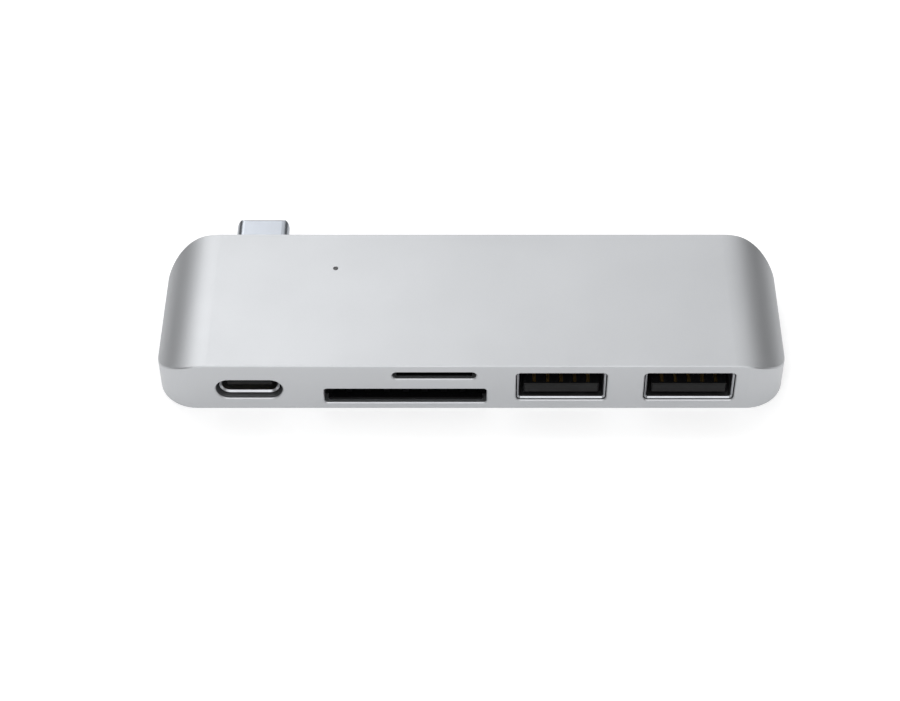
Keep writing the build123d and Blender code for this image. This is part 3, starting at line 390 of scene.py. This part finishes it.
print("hub: making materials")
finishes = {
    "anodised_aluminium": grainFinish("anodisedCasing", anodised),
    "cover_aluminium": grainFinish("anodisedCover", dict(anodised, pitSize=6500.0)),
    "plug_steel": drawnFinish("plugSteel", plugSteel),
    "socket_steel": drawnFinish("socketSteel", socketSteel),
    "spring_steel": drawnFinish("springSteel", springSteel),
    "screw_steel": grainFinish("screwSteel", screwSteel),
    "gold_contacts": drawnFinish("goldContact", goldContact),
    "tin": grainFinish("tinCap", tinCap),
    "black_plastic": grainFinish("blackPolymer", blackPolymer),
    "card_plastic": grainFinish("cardPolymer", cardPolymer),
    "slider_plastic": grainFinish("sliderPolymer", sliderPolymer),
    "clear_plastic": grainFinish("lightGuide", lightGuide),
    "lamp": grainFinish("phosphor", phosphor),
    "board": makeBoardMaterial(solderMask),
    "chip_resin": grainFinish("mouldingResin", mouldingResin),
    "ferrite": grainFinish("ferriteGrey", ferriteGrey),
    "capacitor_body": grainFinish("tanCeramic", tanCeramic),
    "resistor_body": grainFinish("blackGlaze", blackGlaze),
    "tape": grainFinish("foamTape", foamTape),
    "film": grainFinish("blackFilm", blackFilm),
    "silicone_pad": grainFinish("siliconePad", siliconePad),
}

print("hub: dressing the CAD pieces")
for entry in frame["record"]["subparts"]:
    piece = nodes[entry["node"]]
    piece.data.materials.clear()
    piece.data.materials.append(finishes[entry["material_slot"]])

# the coil spring behind the small card's slider, wound to the length of the CAD spring it replaces
ejectSpring = {
    "joint": "microsd_push", "keep": 0.552, "turns": 17, "wireRadius": 0.00006,
    "wireSides": 12, "stepsPerTurn": 28, "smoothAngle": 40,
}


def makeEjectSpring(plan):
    # a wire section wound round the spring's axis by a screw, then closed at both ends
    low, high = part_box("microsd_spring")
    middle = (low + high) / 2
    outer = (high.x - low.x) / 2
    wireRadius = plan["wireRadius"]
    bpy.ops.mesh.primitive_circle_add(
        vertices=plan["wireSides"], radius=wireRadius, fill_type="NOTHING",
        location=(outer - wireRadius, 0, 0), rotation=(math.radians(90), 0, 0),
    )
    coil = bpy.context.object
    coil.name = "eject_spring_coil"
    bpy.ops.object.transform_apply(location=True, rotation=True, scale=True)
    screw = coil.modifiers.new("winding", "SCREW")
    screw.axis = "Z"
    screw.angle = math.radians(360)
    screw.iterations = plan["turns"]
    screw.screw_offset = (high.y - low.y - 2 * wireRadius) / plan["turns"]
    screw.steps = plan["stepsPerTurn"]
    screw.render_steps = plan["stepsPerTurn"]
    bpy.ops.object.modifier_apply(modifier="winding")
    bpy.ops.object.mode_set(mode="EDIT")
    bpy.ops.mesh.select_all(action="DESELECT")
    bpy.ops.mesh.select_non_manifold()
    bpy.ops.mesh.edge_face_add()
    bpy.ops.mesh.select_all(action="SELECT")
    bpy.ops.transform.rotate(value=math.radians(90), orient_axis="X", center_override=(0, 0, 0))
    bpy.ops.mesh.normals_make_consistent(inside=False)
    bpy.ops.object.mode_set(mode="OBJECT")
    turned = [corner.co.y for corner in coil.data.vertices]
    coil.location = (middle.x, middle.y - (min(turned) + max(turned)) / 2, middle.z)
    bpy.ops.object.transform_apply(location=True, rotation=True, scale=True)
    bpy.ops.object.shade_smooth_by_angle(angle=math.radians(plan["smoothAngle"]))
    coil.data.materials.append(finishes["spring_steel"])
    coil.select_set(False)
    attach(coil, "casing")
    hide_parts("microsd_spring")
    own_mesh(coil)


makeEjectSpring(ejectSpring)

# studio: pale floor, soft lights, camera
print("hub: setting up the studio")
studio = {
    "floorSize": 6.0, "floorDrop": 0.00005, "floorGlow": 0.34, "world": 0.22,
    "paperLight": colour(0.9, 0.9, 0.9), "paperDark": colour(0.88, 0.88, 0.88),
    "paperSmooth": 0.55, "paperRough": 0.65, "paperPitSize": 900.0, "paperCloudSize": 3.0,
}
softBoxes = {
    # name: place, point aimed at, width, height, power
    "backBox": ((0.02, 0.46, 0.50), (0, 0, 0), 0.86, 0.34, 1.3),
    "leftBackBox": ((-0.30, 0.42, 0.48), (0, 0, 0), 0.46, 0.34, 0.74),
    "topBox": ((-0.05, -0.05, 0.75), (0, 0, 0), 0.9, 0.8, 2.0),
    "frontBox": ((0.0, -0.55, 0.48), (0, -0.05, 0), 0.9, 0.5, 2.4),
}
view = {
    "elevation": 46.998, "distance": 0.32892, "aimY": -0.002231,
    "focalPixels": 2140.43, "frameWidth": 900, "centreX": 471.35, "sensor": 36.0,
    "clipStart": 0.01,
}


def makeFloor():
    bpy.ops.mesh.primitive_plane_add(size=studio["floorSize"], location=(0, 0, -studio["floorDrop"]))
    floor = bpy.context.object
    floor.name = "studio_floor"
    material = bpy.data.materials.new("paperFloor")
    material.use_nodes = True
    tree = material.node_tree
    shader = tree.nodes["Principled BSDF"]
    place = addNode(tree, "ShaderNodeTexCoord")
    paper = placeGroup(tree, grain, **{
        "Size": studio["paperPitSize"], "Cloud Size": studio["paperCloudSize"],
        "Light": studio["paperLight"], "Dark": studio["paperDark"],
        "Smooth": studio["paperSmooth"], "Rough": studio["paperRough"],
    })
    wire(tree, place.outputs["Object"], paper.inputs["Vector"])
    wire(tree, paper.outputs["Color"], shader.inputs["Base Color"])
    wire(tree, paper.outputs["Roughness"], shader.inputs["Roughness"])
    shader.inputs["Emission Color"].default_value = colour(1, 1, 1)
    shader.inputs["Emission Strength"].default_value = studio["floorGlow"]
    # clear from beneath, so that the underside of the hub can be looked at
    side = addNode(tree, "ShaderNodeNewGeometry")
    clear = addNode(tree, "ShaderNodeBsdfTransparent")
    choose = addNode(tree, "ShaderNodeMixShader")
    wire(tree, side.outputs["Backfacing"], choose.inputs[0])
    wire(tree, shader.outputs["BSDF"], choose.inputs[1])
    wire(tree, clear.outputs["BSDF"], choose.inputs[2])
    wire(tree, choose.outputs["Shader"], tree.nodes["Material Output"].inputs["Surface"])
    floor.data.materials.append(material)
    floor.select_set(False)


def aimAt(thing, target):
    direction = Vector(target) - thing.location
    thing.rotation_euler = direction.to_track_quat("-Z", "Y").to_euler()


def makeLights():
    for name, (place, target, width, height, power) in softBoxes.items():
        light = bpy.data.lights.new(name, "AREA")
        light.shape = "RECTANGLE"
        light.size = width
        light.size_y = height
        light.energy = power
        holder = bpy.data.objects.new(name, light)
        holder.location = place
        scene.collection.objects.link(holder)
        aimAt(holder, target)
    world = bpy.data.worlds.new("studioAir")
    world.use_nodes = True
    world.node_tree.nodes["Background"].inputs["Color"].default_value = colour(1, 1, 1)
    world.node_tree.nodes["Background"].inputs["Strength"].default_value = studio["world"]
    scene.world = world


def makeCamera():
    camera = bpy.data.cameras.new("hubCamera")
    holder = bpy.data.objects.new("hubCamera", camera)
    scene.collection.objects.link(holder)
    tilt = math.radians(view["elevation"])
    target = Vector((0, view["aimY"], 0))
    holder.location = target + view["distance"] * Vector((0, -math.cos(tilt), math.sin(tilt)))
    aimAt(holder, target)
    camera.sensor_fit = "HORIZONTAL"
    camera.sensor_width = view["sensor"]
    camera.lens = view["focalPixels"] / view["frameWidth"] * view["sensor"]
    camera.shift_x = (view["frameWidth"] / 2 - view["centreX"]) / view["frameWidth"]
    camera.clip_start = view["clipStart"]
    scene.camera = holder


makeFloor()
makeLights()
makeCamera()
scene.view_settings.view_transform = "Standard"
scene.view_settings.look = "None"
